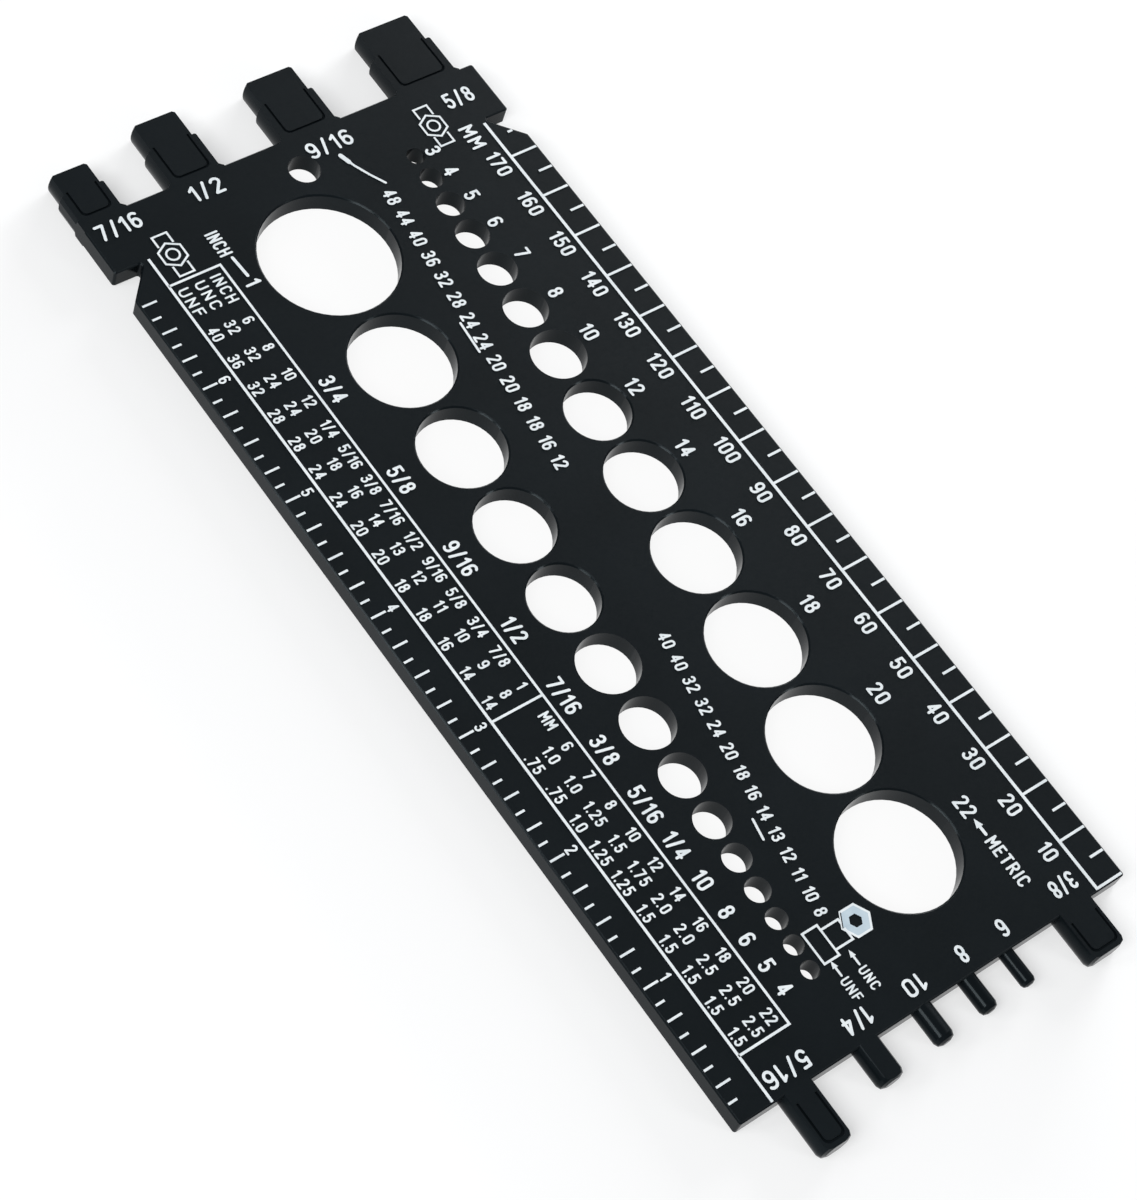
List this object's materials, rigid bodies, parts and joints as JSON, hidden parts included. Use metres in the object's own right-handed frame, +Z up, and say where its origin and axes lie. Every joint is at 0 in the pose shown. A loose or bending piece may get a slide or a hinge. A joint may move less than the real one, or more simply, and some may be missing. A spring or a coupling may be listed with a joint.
{
  "type": "thread checker",
  "caption": "Flat black plastic gauge with a row of inch holes and a row of metric holes for bolts, posts for nuts on both ends, and a ruler along each side.",
  "frame": {"origin": "centre of the bounding box, on the underside", "axes": "+Y along the plate towards the four large posts, +Z up out of the printed face, +X across the plate towards the metric ruler"},
  "size_m": [0.0854, 0.2178, 0.0039],
  "materials": {
    "black_plastic": "satin, finely textured black moulding",
    "white_print": "matt white ink printed on the upper face"
  },
  "bodies": {
    "root": {"gauge_plate": "black_plastic"}
  },
  "joints": []
}
